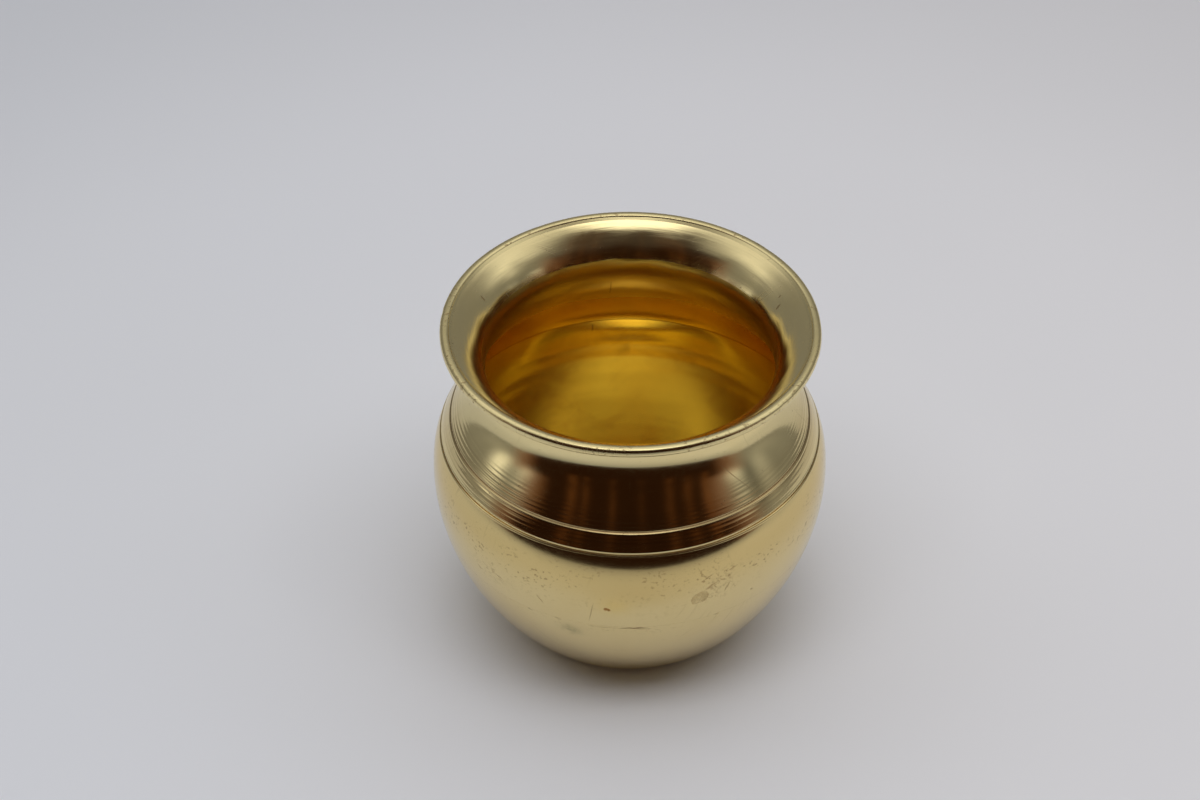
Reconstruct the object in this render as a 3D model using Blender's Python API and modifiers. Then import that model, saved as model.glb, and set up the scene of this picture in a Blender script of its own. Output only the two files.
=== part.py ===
"""Brass lota: three sheet shells and a rim ring, brazed together. Metres, +Z up, base on Z = 0."""

import math

import bpy

MM = 0.001
STEPS = 64

# Driving dimensions, in millimetres
RIM_R = 43.75  # centre circle of the rim ring
RIM_Z = 86.75
RIM_TUBE = 1.25  # half the thickness of the ring
RIM_SEAT = 0.75  # flat of the ring that meets the edge of the lip
LIP_OFFSET = 0.62  # the lip meets the ring above its centre, nearly flush inside
SHEET = 1.0  # wall thickness
THINNED = 0.3  # wall thickness where two edges lap, so that the lap is flush
GAP = 0.1  # clearance on each side of the brazing metal
BRAZE = 0.2  # thickness of the brazing metal in a joint
WAIST_R = 35.5  # narrowest part of the neck, outside
WAIST_Z = 76.8
LIP_LEAN = 62.0  # degrees from upright at the ring
NECK_FOOT_LEAN = 33.0  # degrees from upright at the upper groove
CHEST_LEAN = 25.0  # degrees from upright above the lower groove
GROOVE_1_R = 43.29
GROOVE_1_Z = 61.36
GROOVE_2_R = 45.79
GROOVE_2_Z = 56.89
BELLY_TOP_LEAN = 27.0  # degrees from upright below the lower groove
BELLY_R = 47.84
BELLY_Z = 44.73
LOWER_DEPTH = 56.1  # the lower body is part of a superellipse this deep
LOWER_POWER = 1.82
GROOVE_HALF = 0.55  # half width of a turned groove
GROOVE_DEPTH = 0.28
GIRTH_Z = 34.2  # seam between belly and bowl
LAP = 4.2  # overlap of each brazed lap
BASE_EDGE_R = 8.0  # rounding at the edge of the flat base
BASE_RISE = 3.2  # the inside of the base swells up this much towards its middle


def unit(x, z):
    length = math.hypot(x, z)
    return x / length, z / length


def hermite(start, start_lean, end, end_lean, count):
    """Points from start down to end on a cubic whose ends lean out by the given degrees."""
    span = math.dist(start, end)
    a = math.radians(start_lean)
    b = math.radians(end_lean)
    m0 = (span * math.sin(a), -span * math.cos(a))
    m1 = (span * math.sin(b), -span * math.cos(b))
    points = []
    for i in range(count + 1):
        t = i / count
        h00 = 2 * t**3 - 3 * t**2 + 1
        h10 = t**3 - 2 * t**2 + t
        h01 = 3 * t**2 - 2 * t**3
        h11 = t**3 - t**2
        points.append(
            tuple(
                h00 * start[k] + h10 * m0[k] + h01 * end[k] + h11 * m1[k]
                for k in (0, 1)
            )
        )
    return points


def lower_r(z):
    """Outer radius of the lower body at a height."""
    s = min(1.0, (BELLY_Z - z) / LOWER_DEPTH) ** (LOWER_POWER / 2)
    return BELLY_R * math.sqrt(max(0.0, 1 - s * s)) ** (2 / LOWER_POWER)


def normals(points):
    """Outward directions of a profile that runs downwards."""
    found = []
    for i in range(len(points)):
        a = points[max(0, i - 1)]
        b = points[min(len(points) - 1, i + 1)]
        x, z = unit(b[0] - a[0], b[1] - a[1])
        found.append((-z, x))
    return found


def inset(points, depth):
    return [
        (p[0] - depth * n[0], p[1] - depth * n[1])
        for p, n in zip(points, normals(points))
    ]


def grooved(points, at):
    """The profile with a V cut into it at one of its points."""
    i = min(range(len(points)), key=lambda k: math.dist(points[k], at))
    n = normals(points)[i]
    before = unit(points[i - 1][0] - at[0], points[i - 1][1] - at[1])
    after = unit(points[i + 1][0] - at[0], points[i + 1][1] - at[1])
    cut = [
        (at[0] + GROOVE_HALF * before[0], at[1] + GROOVE_HALF * before[1]),
        (at[0] - GROOVE_DEPTH * n[0], at[1] - GROOVE_DEPTH * n[1]),
        (at[0] + GROOVE_HALF * after[0], at[1] + GROOVE_HALF * after[1]),
    ]
    return points[:i] + cut + points[i + 1 :]


def material(name, colour, roughness):
    made = bpy.data.materials.new(name)
    made.use_nodes = True
    shader = made.node_tree.nodes["Principled BSDF"]
    shader.inputs["Base Color"].default_value = (*colour, 1)
    shader.inputs["Metallic"].default_value = 1
    shader.inputs["Roughness"].default_value = roughness
    made.diffuse_color = (*colour, 1)
    return made


def turned(name, profile, finish, closed=True):
    """A profile in millimetres turned round the Z axis. It runs down its outer side."""
    mesh = bpy.data.meshes.new(name)
    edges = [(i, i + 1) for i in range(len(profile) - 1)]
    if closed:
        edges.append((len(profile) - 1, 0))
    mesh.from_pydata([(r * MM, 0, z * MM) for r, z in profile], edges, [])
    made = bpy.data.objects.new(name, mesh)
    lota.objects.link(made)
    screw = made.modifiers.new("turn", "SCREW")
    screw.axis = "Z"
    screw.steps = screw.render_steps = STEPS
    screw.use_merge_vertices = True
    screw.merge_threshold = 0.00001
    screw.use_normal_calculate = False
    screw.use_smooth_shade = True
    mesh.materials.append(finish)
    return made


for old in list(bpy.data.objects):
    bpy.data.objects.remove(old, do_unlink=True)
lota = bpy.data.collections.new("lota")
bpy.context.scene.collection.children.link(lota)

# Lip: the line from the waist of the neck to the flat of the ring
lean = math.radians(LIP_LEAN)
along = (math.sin(lean), math.cos(lean))  # out along the lip
across = (math.cos(lean), -math.sin(lean))  # from the lip's inside to its outside
JOINT = 2 * GAP + BRAZE
edge_mid = tuple(
    (RIM_R, RIM_Z)[k] - (RIM_SEAT + JOINT) * along[k] - LIP_OFFSET * across[k]
    for k in (0, 1)
)
lip_edge_out = tuple(edge_mid[k] + SHEET / 2 * across[k] for k in (0, 1))
lip_edge_in = tuple(edge_mid[k] - SHEET / 2 * across[k] for k in (0, 1))
waist = (WAIST_R, WAIST_Z)
waist_in = (WAIST_R - SHEET, WAIST_Z)
groove_1 = (GROOVE_1_R, GROOVE_1_Z)
groove_2 = (GROOVE_2_R, GROOVE_2_Z)
lip_outside = hermite(lip_edge_out, -LIP_LEAN, waist, 0, 8)
lip_inside = hermite(lip_edge_in, -LIP_LEAN, waist_in, 0, 8)

# Neck, shoulder and belly outside
neck = hermite(waist, 0, groove_1, NECK_FOOT_LEAN, 8)
chest = hermite(groove_1, NECK_FOOT_LEAN, groove_2, CHEST_LEAN, 3)
belly = hermite(groove_2, BELLY_TOP_LEAN, (BELLY_R, BELLY_Z), 0, 6)
belly_fine = hermite(groove_2, BELLY_TOP_LEAN, (BELLY_R, BELLY_Z), 0, 200)


def on_belly(distance, depth):
    """Point at a distance down the belly from the lower groove and a depth inside its surface."""
    left = max(distance, 0)
    n = normals(belly_fine)
    i = 0
    while left > 0:
        left -= math.dist(belly_fine[i], belly_fine[i + 1])
        i += 1
    x, z = belly_fine[i]
    back = min(distance, 0)  # above the groove, straight on
    return (
        x - depth * n[i][0] + back * n[i][1],
        z - depth * n[i][1] - back * n[i][0],
    )


ledge_z = GIRTH_Z + JOINT / 2
below_belly = [
    (lower_r(z), z)
    for z in (BELLY_Z + (ledge_z - BELLY_Z) * i / 4 for i in range(1, 5))
]

# Collar: lip, neck and shoulder, ending in half of the lower groove and a thinned lap inside the belly
lap_out = SHEET - THINNED
collar_outside = lip_outside + neck[1:] + chest[1:]
collar_inside = lip_inside + inset(neck + chest[1:], SHEET)[1:-1]
collar_cut = grooved(collar_outside, groove_1)
toward = unit(chest[-2][0] - groove_2[0], chest[-2][1] - groove_2[1])
collar_cut[-1] = tuple(groove_2[k] + GROOVE_HALF * toward[k] for k in (0, 1))
skirt_steps = [LAP * i / 3 for i in range(4)]
skirt_out = [on_belly(d, lap_out) for d in skirt_steps]
skirt_in = [on_belly(d, SHEET) for d in skirt_steps]
collar_ledge = [on_belly(-JOINT / 2, depth) for depth in (GROOVE_DEPTH, lap_out)]
collar_profile = (
    collar_cut + collar_ledge + skirt_out[1:] + skirt_in[::-1] + collar_inside[::-1]
)

# Belly: the other half of the groove, the widest part and a thinned lap inside the bowl
flank = GROOVE_DEPTH * (1 - JOINT / 2 / GROOVE_HALF)  # depth of the groove at the belly's edge
belly_top = [on_belly(JOINT / 2, flank), on_belly(GROOVE_HALF, 0)]
belly_outside = belly[1:] + below_belly
recess = [on_belly(d, THINNED) for d in [JOINT / 2] + skirt_steps[1:3] + [LAP + JOINT / 2]]
recess.append(on_belly(LAP + JOINT / 2, SHEET))
belly_inside = [
    p for p in inset(belly + below_belly, SHEET) if p[1] < recess[-1][1] - 0.3
][:-1]


def lap_at(z, depth):
    """Point at a depth inside the lower body's surface."""
    a = (lower_r(z + 0.1), z + 0.1)
    b = (lower_r(z - 0.1), z - 0.1)
    x, h = unit(b[0] - a[0], b[1] - a[1])
    return lower_r(z) + depth * h, z - depth * x


# Lap of the belly inside the bowl: the edge is thinned and runs down behind the bowl's thinned edge
lap_levels = [ledge_z - LAP * i / 3 for i in range(4)]
lap_outside = [lap_at(z, lap_out) for z in lap_levels]
lap_outside[0] = (lap_outside[0][0], ledge_z)
lap_inside = [lap_at(z, SHEET) for z in lap_levels]
belly_profile = (
    belly_top
    + belly_outside
    + lap_outside
    + lap_inside[::-1]
    + belly_inside[::-1]
    + recess[::-1]
)

# Bowl: down the outside, round the edge of the base and across to the axis
rim_z = GIRTH_Z - JOINT / 2
slope = math.atan2(lower_r(0.0) - lower_r(-0.2), 0.2)  # lean at the base plane
base_half = (math.pi / 2 - slope) / 2
set_back = BASE_EDGE_R * math.tan(base_half)
corner = lower_r(0.0)
flat_r = corner - set_back
arc_top_z = set_back * math.cos(slope)
wall = [
    (lower_r(z), z)
    for z in (rim_z + (arc_top_z - rim_z) * i / 9 for i in range(10))
]
arc = []
for i in range(1, 5):
    turn = (math.pi / 2 - slope) * (1 - i / 4)
    arc.append(
        (
            flat_r + BASE_EDGE_R * math.sin(turn),
            BASE_EDGE_R * (1 - math.cos(turn)),
        )
    )
bowl_outside = wall + arc + [(0.0, 0.0)]
seat_z = ledge_z - LAP - JOINT / 2  # foot of the lap
bowl_inside = [(lap_at(rim_z, THINNED)[0], rim_z)]
bowl_inside += [lap_at(z, THINNED) for z in lap_levels[1:3] + [seat_z]]
bowl_inside.append(lap_at(seat_z, SHEET))
bowl_inside += [p for p in inset(wall + arc, SHEET) if p[1] < seat_z - 0.6]
bowl_inside[-1] = (flat_r, SHEET)
dome = [
    (flat_r * i / 8, SHEET + BASE_RISE * (1 - (i / 8) ** 2) ** 2) for i in range(8)
]
bowl_profile = dome + bowl_inside[::-1] + bowl_outside

# Rim ring: round, with a flat where it sits on the lip
opening = math.acos(RIM_SEAT / RIM_TUBE)
ring_profile = []
for i in range(14):
    turn = opening + (2 * math.pi - 2 * opening) * i / 13
    ring_profile.append(
        tuple(
            (RIM_R, RIM_Z)[k]
            - RIM_TUBE * (math.cos(turn) * along[k] + math.sin(turn) * across[k])
            for k in (0, 1)
        )
    )


def lip_point(u, v):
    """Point u along the lip from its edge and v towards its outside."""
    return tuple(edge_mid[k] + u * along[k] + v * across[k] for k in (0, 1))


# Brazing metal on the edge of the lip: a channel that holds the edge and backs the ring
half = SHEET / 2 + GAP
rim_braze_profile = [
    lip_point(u, v)
    for u, v in (
        (GAP + BRAZE, -0.32),
        (GAP + BRAZE, 1.15),
        (0.05, half + 0.32),
        (-0.5, half + 0.12),
        (-0.5, half),
        (GAP, half),
        (GAP, -half),
        (-0.5, -half),
        (-0.5, -half - 0.06),
        (0.05, -half - 0.1),
    )
]

# Brazing metal under the lower groove: a layer in the lap with its edge in the groove
layer_top = THINNED + GAP
layer_low = THINNED + GAP + BRAZE
layer_steps = [JOINT / 2] + skirt_steps[1:3] + [LAP - 0.1]
shoulder_braze_profile = (
    [on_belly(-BRAZE / 2, GROOVE_DEPTH + GAP + 0.05), on_belly(BRAZE / 2, layer_top)]
    + [on_belly(d, layer_top) for d in layer_steps]
    + [on_belly(d, layer_low) for d in layer_steps[::-1]]
    + [on_belly(-BRAZE / 2, layer_low)]
)

# Brazing metal in the girth seam: a web in the joint and a layer between lap and bowl
web_top = GIRTH_Z + BRAZE / 2
web_low = GIRTH_Z - BRAZE / 2
layer_levels = [web_low - (LAP - 0.3) * i / 3 for i in range(4)]
layer_out = [lap_at(z, layer_top) for z in layer_levels]
layer_in = [lap_at(z, layer_low) for z in [web_top] + layer_levels[1:]]
girth_braze_profile = (
    [(lower_r(web_top) - 0.02, web_top), (lower_r(web_low) - 0.02, web_low)]
    + [(layer_out[0][0], web_low)]
    + layer_out[1:]
    + layer_in[:0:-1]
    + [(layer_in[0][0], web_top)]
)

polished = material("polished_brass", (0.86, 0.68, 0.33), 0.16)
ring_finish = material("rim_brass", (0.86, 0.69, 0.35), 0.2)
bowl_finish = material("bowl_brass", (0.85, 0.67, 0.32), 0.18)
collar_finish = material("collar_brass", (0.86, 0.68, 0.34), 0.2)
spelter = material("brazing_brass", (0.88, 0.7, 0.3), 0.32)

turned("rim_ring", ring_profile, ring_finish)
turned("rim_braze", rim_braze_profile, spelter)
turned("neck_collar", collar_profile, collar_finish)
turned("shoulder_braze", shoulder_braze_profile, spelter)
turned("belly_shell", belly_profile, polished)
turned("girth_braze", girth_braze_profile, spelter)
turned("lower_bowl", bowl_profile, bowl_finish, closed=False)
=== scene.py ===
import math

import bpy
import numpy as np
from mathutils import Matrix, Vector


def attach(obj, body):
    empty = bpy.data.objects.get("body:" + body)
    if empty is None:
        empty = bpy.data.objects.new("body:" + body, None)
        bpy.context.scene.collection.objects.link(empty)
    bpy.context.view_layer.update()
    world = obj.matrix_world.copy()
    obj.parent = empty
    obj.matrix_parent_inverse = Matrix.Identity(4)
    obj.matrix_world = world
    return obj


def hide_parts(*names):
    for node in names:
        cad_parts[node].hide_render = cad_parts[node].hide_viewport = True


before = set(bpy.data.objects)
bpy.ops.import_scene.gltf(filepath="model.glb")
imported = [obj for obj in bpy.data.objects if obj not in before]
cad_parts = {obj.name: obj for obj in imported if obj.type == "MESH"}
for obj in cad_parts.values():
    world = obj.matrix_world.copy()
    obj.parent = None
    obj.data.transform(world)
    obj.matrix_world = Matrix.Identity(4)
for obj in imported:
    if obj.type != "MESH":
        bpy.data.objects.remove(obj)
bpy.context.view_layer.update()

MM = 0.001
SEGMENTS = 320
RNG = np.random.default_rng(11)

# ---------------------------------------------------------------- dimensions, in millimetres
RIM_R, RIM_Z, RIM_TUBE, RIM_SEAT, LIP_OFFSET = 43.75, 86.75, 1.25, 0.75, 0.62
SHEET, THINNED = 1.0, 0.42
WAIST = (35.5, 76.8)
LIP_LEAN, NECK_FOOT_LEAN, CHEST_LEAN, BELLY_TOP_LEAN = 62.0, 33.0, 25.0, 27.0
GROOVE_1 = (43.29, 61.36)
GROOVE_2 = (45.79, 56.89)
BELLY_R, BELLY_Z = 47.84, 44.73
LOWER_DEPTH, LOWER_POWER = 56.1, 1.82
GROOVE_HALF, GROOVE_DEPTH = 0.38, 0.19
GIRTH_Z, LAP, JOINT = 34.2, 4.2, 0.4
BASE_EDGE_R = 8.0
BASE_RISE = 3.2
WORN = 2.7  # how square the worn top of the bead is, 2 is round
GOLD_TOP = 80.3  # height up to which the inside keeps its gold tone
LINES = (57.6, 67.5)  # heights between which turning rings show on the neck


# ---------------------------------------------------------------- profiles
def hermite(start, start_lean, end, end_lean, count):
    start, end = np.array(start), np.array(end)
    span = np.linalg.norm(end - start)
    a, b = math.radians(start_lean), math.radians(end_lean)
    m0 = span * np.array([math.sin(a), -math.cos(a)])
    m1 = span * np.array([math.sin(b), -math.cos(b)])
    t = np.linspace(0, 1, count + 1)[:, None]
    return (
        (2 * t**3 - 3 * t**2 + 1) * start
        + (t**3 - 2 * t**2 + t) * m0
        + (3 * t**2 - 2 * t**3) * end
        + (t**3 - t**2) * m1
    )


def lower_r(z):
    s = np.minimum(1.0, (BELLY_Z - np.asarray(z, float)) / LOWER_DEPTH)
    s = np.maximum(s, 0) ** (LOWER_POWER / 2)
    return BELLY_R * np.sqrt(np.maximum(0, 1 - s * s)) ** (2 / LOWER_POWER)


def normals(p):
    d = np.gradient(p, axis=0)
    d /= np.linalg.norm(d, axis=1)[:, None]
    return np.stack([-d[:, 1], d[:, 0]], 1)


def inset(p, depth):
    return p - depth * normals(p)


def resample(p, step):
    """Evenly spaced points along a polyline."""
    s = np.concatenate([[0], np.cumsum(np.linalg.norm(np.diff(p, axis=0), axis=1))])
    n = max(2, int(round(s[-1] / step)))
    q = np.linspace(0, s[-1], n + 1)
    return np.stack([np.interp(q, s, p[:, k]) for k in (0, 1)], 1)


def soften(p, passes, keep=2):
    """Rounds the corners of a dense profile a little."""
    p = p.copy()
    for _ in range(passes):
        p[keep:-keep] = 0.25 * p[keep - 1 : -keep - 1] + 0.5 * p[keep:-keep] + 0.25 * p[keep + 1 : len(p) - keep + 1]
    return p


def groove(p, at):
    """Cuts a turned V with a rounded bottom and slightly raised edges."""
    i = int(np.argmin(np.linalg.norm(p - np.array(at), axis=1)))
    s = np.concatenate([[0], np.cumsum(np.linalg.norm(np.diff(p, axis=0), axis=1))])
    d = s - s[i]
    cut = np.clip(1 - np.abs(d) / GROOVE_HALF, 0, 1)
    cut = cut - 0.12 * np.clip(1 - np.abs(cut - 0.12) / 0.12, 0, 1)
    lip = 0.05 * np.exp(-(((np.abs(d) - GROOVE_HALF - 0.12) / 0.12) ** 2))
    return p - (GROOVE_DEPTH * cut - lip)[:, None] * normals(p)


lean = math.radians(LIP_LEAN)
ALONG = np.array([math.sin(lean), math.cos(lean)])
ACROSS = np.array([math.cos(lean), -math.sin(lean)])
RING = np.array([RIM_R, RIM_Z])
EDGE = RING - (RIM_SEAT + JOINT) * ALONG - LIP_OFFSET * ACROSS
lip_out = hermite(EDGE + SHEET / 2 * ACROSS, -LIP_LEAN, WAIST, 0, 80)
lip_in = hermite(EDGE - SHEET / 2 * ACROSS, -LIP_LEAN, (WAIST[0] - SHEET, WAIST[1]), 0, 80)
neck = hermite(WAIST, 0, GROOVE_1, NECK_FOOT_LEAN, 90)
chest = hermite(GROOVE_1, NECK_FOOT_LEAN, GROOVE_2, CHEST_LEAN, 40)
belly = hermite(GROOVE_2, BELLY_TOP_LEAN, (BELLY_R, BELLY_Z), 0, 80)
z = np.linspace(BELLY_Z, GIRTH_Z + 0.01, 40)
below = np.stack([lower_r(z), z], 1)
body = soften(resample(np.concatenate([lip_out, neck[1:], chest[1:], belly[1:], below[1:]]), 0.13), 14)
cut = groove(groove(body, GROOVE_1), GROOVE_2)


def thin(p, near, step, band=(0, 0)):
    """Drops points where the surface is plain and keeps them close to the given heights and in the band."""
    keep = [0]
    for i in range(1, len(p)):
        close = min(abs(p[i, 1] - h) for h in near) < 1.3 or band[0] < p[i, 1] < band[1]
        if close or np.linalg.norm(p[i] - p[keep[-1]]) > step or i == len(p) - 1:
            keep.append(i)
    return p[keep]


split = int(np.argmin(np.linalg.norm(body - np.array(GROOVE_2), axis=1)))
grooves = (GROOVE_1[1], GROOVE_2[1])
collar_out = thin(cut[: split + 1], grooves, 0.36, LINES)
belly_out = thin(cut[split + 1 :], grooves, 0.42)
wall_in = inset(body, SHEET)
side = normals(body)

# flush lap below the lower groove: the thinned edge of the collar inside the thinned edge of the belly
lap_rows = int(LAP / 0.13)
lap_points = body[split + 2 : split + 2 + lap_rows]
lap_normals = side[split + 2 : split + 2 + lap_rows]
ledge_in = body[split] - (SHEET - THINNED) * side[split]
skirt_out = (lap_points - (SHEET - THINNED) * lap_normals)[::6]
waist_at = int(np.argmin(body[:split, 0]))
collar_in = np.concatenate([wall_in[waist_at : split + 2 + lap_rows][::-1], lip_in[::-1][1:]])
collar_in = soften(resample(collar_in, 0.45), 5)
foot_at = split + 3 + lap_rows
recess = (body - THINNED * side)[np.linspace(foot_at, split + 1, 7).astype(int)]


def lap_at(z, depth):
    a, b = np.array([lower_r(z + 0.1), z + 0.1]), np.array([lower_r(z - 0.1), z - 0.1])
    d = (b - a) / np.linalg.norm(b - a)
    return np.array([lower_r(z), z]) - depth * np.array([-d[1], d[0]])


# flush lap of the girth seam: the thinned edge of the belly inside the thinned edge of the bowl
ledge = GIRTH_Z + 0.01
lap_z = np.linspace(ledge - 0.2, ledge - LAP, 10)
lap_out = np.array([lap_at(v, SHEET - THINNED) for v in lap_z])
lap_in = np.array([lap_at(v, SHEET) for v in lap_z])
belly_in = resample(np.concatenate([lap_in[::-1], wall_in[foot_at:][::-1]]), 0.45)

rim_z = GIRTH_Z - 0.01
slope = math.atan2(float(lower_r(0.0) - lower_r(-0.2)), 0.2)
set_back = BASE_EDGE_R * math.tan((math.pi / 2 - slope) / 2)
flat_r = float(lower_r(0.0)) - set_back
z = np.linspace(rim_z, set_back * math.cos(slope), 80)
wall = np.stack([lower_r(z), z], 1)
turn = np.linspace(math.pi / 2 - slope, 0, 16)[1:]
arc = np.stack([flat_r + BASE_EDGE_R * np.sin(turn), BASE_EDGE_R * (1 - np.cos(turn))], 1)
bowl_curve = resample(np.concatenate([wall, arc]), 0.45)
seat_z = ledge - LAP - 0.03
bowl_lap = np.array([lap_at(v, THINNED) for v in np.linspace(seat_z, rim_z - 0.3, 8)])
bowl_in = inset(bowl_curve, SHEET)
bowl_in = resample(np.concatenate([[lap_at(seat_z, SHEET)], bowl_in[bowl_in[:, 1] < seat_z - 0.2]]), 0.5)
base_out = np.stack([np.linspace(bowl_curve[-1, 0], 0.6, 40)[1:], np.zeros(39)], 1)
r = np.linspace(bowl_in[-1, 0], 0.6, 40)[1:]
base_in = np.stack([r, SHEET + BASE_RISE * (1 - (r / bowl_in[-1, 0]) ** 2) ** 2], 1)


# ---------------------------------------------------------------- turned meshes
def waves(seed, count, most_turns, most_rise, size):
    """A smooth uneven field over angle and height, as beating and polishing leave."""
    rng = np.random.default_rng(seed)
    turns = rng.integers(1, most_turns + 1, count)
    rise = rng.uniform(-most_rise, most_rise, count)
    phase = rng.uniform(0, 2 * math.pi, count)
    amp = rng.uniform(0.4, 1.0, count) / np.sqrt(1 + (turns / 4.0) ** 2)
    amp *= size / math.sqrt((amp**2).sum() / 2)

    def field(theta, height):
        out = np.zeros_like(theta)
        for n, k, p, a in zip(turns, rise, phase, amp):
            out += a * np.cos(n * theta + k * height + p)
        return out

    return field


def turned(name, node, loops, field=None, closed=True, segments=SEGMENTS, extra=None):
    """loops is a list of (profile in mm, material slot). Together they run down the outer side and up the inner one."""
    profile = np.concatenate([p for p, _ in loops])
    slots = np.concatenate([np.full(len(p), m) for p, m in loops])
    n = len(profile)
    theta = np.arange(segments) / segments * 2 * math.pi
    grid_t = np.repeat(theta[None, :], n, 0)
    ring = np.repeat(profile[:, :1], segments, 1)
    height = np.repeat(profile[:, 1:], segments, 1)
    if field is not None:
        fade = np.clip(height / 6.0, 0, 1)
        ring = ring + fade * field(grid_t, height)
    if extra is not None:
        ring, height = extra(ring, height, grid_t)
    verts = np.stack([ring * np.sin(grid_t), -ring * np.cos(grid_t), height], -1).reshape(-1, 3) * MM
    rows = np.arange(n if closed else n - 1)
    a = rows[:, None] * segments + np.arange(segments)[None, :]
    b = rows[:, None] * segments + (np.arange(segments)[None, :] + 1) % segments
    nxt = (rows + 1) % n
    c = nxt[:, None] * segments + (np.arange(segments)[None, :] + 1) % segments
    d = nxt[:, None] * segments + np.arange(segments)[None, :]
    quads = np.stack([a, d, c, b], -1).reshape(-1, 4)
    faces = quads.tolist()
    mats = np.repeat(slots[rows], segments).tolist()
    if not closed:
        faces.append(list(range(segments)))
        mats.append(int(slots[0]))
        last = (n - 1) * segments
        faces.append([last + i for i in range(segments)][::-1])
        mats.append(int(slots[-1]))
    mesh = bpy.data.meshes.new(name)
    mesh.from_pydata(verts.tolist(), [], faces)
    mesh.polygons.foreach_set("material_index", np.array(mats, np.int32))
    length = np.concatenate([[0], np.cumsum(np.linalg.norm(np.diff(profile, axis=0), axis=1))])
    length /= length[-1] * (1 + 1.0 / n)
    uv = mesh.uv_layers.new(name="UVMap")
    su, sv = np.meshgrid(np.arange(segments) / segments, length[rows])
    du = 1.0 / segments
    up = np.append(length, 1.0)[rows + 1]
    sv2 = np.repeat(up[:, None], segments, 1)
    coords = np.stack(
        [np.stack([su, sv], -1), np.stack([su, sv2], -1), np.stack([su + du, sv2], -1), np.stack([su + du, sv], -1)],
        2,
    ).reshape(-1, 2)
    if not closed:
        t = np.arange(segments) / segments * 2 * math.pi
        cap = np.stack([0.5 + 0.004 * np.cos(t), 0.004 + 0.004 * np.sin(t)], -1)
        coords = np.concatenate([coords, cap, cap[::-1]])
    uv.data.foreach_set("uv", coords.reshape(-1).astype(np.float32))
    mesh.update()
    mesh.validate()
    mesh.shade_smooth()
    mesh.set_sharp_from_angle(angle=math.radians(38))
    made = bpy.data.objects.new(name, mesh)
    bpy.context.scene.collection.objects.link(made)
    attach(made, "root")
    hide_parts(node)
    return made


body_waves = waves(3, 40, 9, 0.16, 0.028)
ring_waves = waves(8, 26, 24, 0.0, 0.02)
lip_waves = waves(14, 40, 24, 0.9, 0.085)
inner_waves = waves(36, 30, 8, 0.28, 0.035)
throat_waves = waves(41, 40, 60, 1.2, 0.03)


def smooth(x):
    x = np.clip(x, 0, 1)
    return x * x * (3 - 2 * x)


def inner_rings(along, theta):
    """Broad uneven rings left inside by the hammer and the scraper."""
    rng = np.random.default_rng(57)
    total = np.zeros_like(along + theta)
    for _ in range(7):
        pitch, phase, shift = rng.uniform(2.4, 6.5), rng.uniform(0, 2 * math.pi), rng.uniform(0, 2 * math.pi)
        turns = rng.integers(1, 5)
        total += pitch * np.cos(2 * math.pi * along / pitch + phase + 0.7 * np.cos(turns * theta + shift))
    return RING_DEPTH * total


RING_DEPTH = 0.0013


def uneven_inside(first, last, low, high):
    """Slight unevenness of the inner wall between two rows and two heights."""

    def change(ring, height, theta):
        rows = np.arange(len(ring))[:, None]
        part = (rows >= first) & (rows < last)
        fade = smooth((height - low) / 5.0) * (1 - smooth((height - high + 4.0) / 4.0))
        ringed = smooth((height - 33.0) / 5.0) * (1 - smooth((height - high - 2.0) / 4.0))
        change_by = fade * inner_waves(theta, height) + ringed * inner_rings(height, theta)
        return ring + part * change_by, height

    return change



belly_obj = turned(
    "belly_shell_skin",
    "belly_shell",
    [(belly_out, 0), (np.array([[lap_out[0, 0], ledge]]), 1), (lap_out, 1), (belly_in, 1), (recess, 1)],
    body_waves,
    extra=uneven_inside(len(belly_out) + 1 + len(lap_out), len(belly_out) + 1 + len(lap_out) + len(belly_in), 30.0, 50.0),
)
bowl = turned(
    "lower_bowl_skin",
    "lower_bowl",
    [
        (base_in[::-1], 1),
        (bowl_in[::-1], 1),
        (bowl_lap, 1),
        (np.array([[lap_at(rim_z, THINNED)[0], rim_z]]), 1),
        (bowl_curve, 0),
        (base_out, 0),
    ],
    body_waves,
    closed=False,
    extra=uneven_inside(0, len(base_in) + len(bowl_in), 3.0, 30.0),
)


def turning(ring, height, theta):
    """Fine uneven rings that the turning tool left on the lower neck, outside only."""
    rng = np.random.default_rng(21)
    rings = np.zeros_like(ring)
    for _ in range(14):
        pitch, phase, shift = rng.uniform(0.40, 1.0), rng.uniform(0, 2 * math.pi), rng.uniform(0, 2 * math.pi)
        turns = rng.integers(1, 5)
        rings += pitch * np.cos(2 * math.pi * height / pitch + phase + 0.8 * np.cos(turns * theta + shift))
    fade = smooth((height - LINES[0]) / 0.8) * (1 - smooth((height - LINES[1] + 5.0) / 5.0))
    outer = np.arange(len(ring))[:, None] < len(collar_out)
    wavy = smooth((height - WAIST[1]) / 4.0) * (1 - smooth((height - RIM_Z + 3.0) / 2.5))
    throat = np.exp(-(((height - GOLD_TOP) / 1.4) ** 2)) * throat_waves(theta, height)
    inner = smooth((height - 59.0) / 3.0) * (1 - smooth((height - 72.0) / 5.0)) * inner_rings(height, theta)
    change_by = outer * fade * LINE_DEPTH * rings + (1 - outer) * (throat + inner) + wavy * lip_waves(theta, height)
    return ring + change_by, height


LINE_DEPTH = 0.0042
collar = turned(
    "neck_collar_skin",
    "neck_collar",
    [
        (collar_out, 0),
        (np.array([ledge_in]), 1),
        (skirt_out, 1),
        (collar_in[collar_in[:, 1] < GOLD_TOP], 1),
        (collar_in[collar_in[:, 1] >= GOLD_TOP], 0),
    ],
    body_waves,
    extra=turning,
)

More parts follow.
